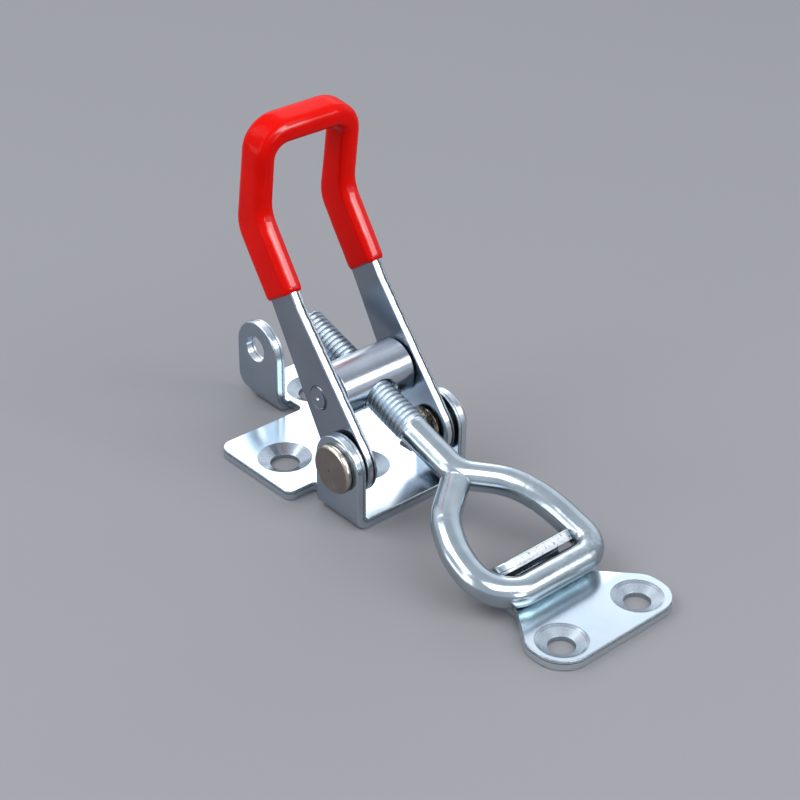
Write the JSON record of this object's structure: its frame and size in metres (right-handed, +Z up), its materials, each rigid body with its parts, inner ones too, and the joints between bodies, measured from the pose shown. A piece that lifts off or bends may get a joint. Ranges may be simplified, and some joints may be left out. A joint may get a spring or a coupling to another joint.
{
  "type": "over centre toggle latch",
  "caption": "Over centre toggle latch: a U lever on a folded base bracket draws an adjustable hook bolt and loop tight on a folded strike plate.",
  "frame": {"origin": "on the underside of the base bracket, straight below the lever's pivot axis and midway between the ears", "axes": "+X towards the strike plate along the pull, +Y across towards the padlock lug's side, +Z up off the panel"},
  "size_m": [0.1036, 0.0322, 0.0675],
  "materials": {
    "zinc_sheet": "bright bluish zinc plating over cold rolled sheet, faint mottling, white sheared edges",
    "zinc_lever": "bright zinc plating, satin faces, burnished sheared edges",
    "red_vinyl": "glossy dipped vinyl with soft ripples",
    "rivet_steel": "brown grey plated rivet heads with bright rims",
    "zinc_turned": "bright zinc plating on a turned surface",
    "zinc_wire": "bright zinc plating on drawn wire, tool marks",
    "zinc_strike": "bright bluish zinc plating, white sheared edges"
  },
  "bodies": {
    "base": {"base_bracket": "zinc_sheet", "pivot_rivet_left": "rivet_steel", "pivot_rivet_right": "rivet_steel"},
    "lever": {"lever": "zinc_lever", "grip": "red_vinyl"},
    "barrel": {"barrel": "zinc_turned"},
    "hook": {"hook_bolt": "zinc_wire"},
    "strike": {"strike_plate": "zinc_strike"}
  },
  "joints": [
    {"name": "lever_pivot", "type": "hinge", "parent": "base", "child": "lever", "pos_m": [0, 0, 0.011], "axis": [0, -1, 0], "range_deg": [0, 58]},
    {"name": "barrel_swing", "type": "hinge", "parent": "lever", "child": "barrel", "pos_m": [-0.00801, 0, 0.02052], "axis": [0, -1, 0], "range_deg": [-45.2, 0]},
    {"name": "hook_adjust", "type": "slide", "parent": "barrel", "child": "hook", "axis": [0.9521, 0, -0.3057], "range_m": [-0.004, 0.006]},
    {"name": "strike_pivot", "type": "hinge", "parent": "hook", "child": "strike", "pos_m": [0.04088, 0, 0.00482], "axis": [0, -1, 0], "range_deg": [-12.9, 0]}
  ],
  "couplings": [
    {"joint": "barrel_swing", "follows": "lever_pivot", "ratio": -0.7784},
    {"joint": "strike_pivot", "follows": "lever_pivot", "ratio": -0.2216}
  ]
}
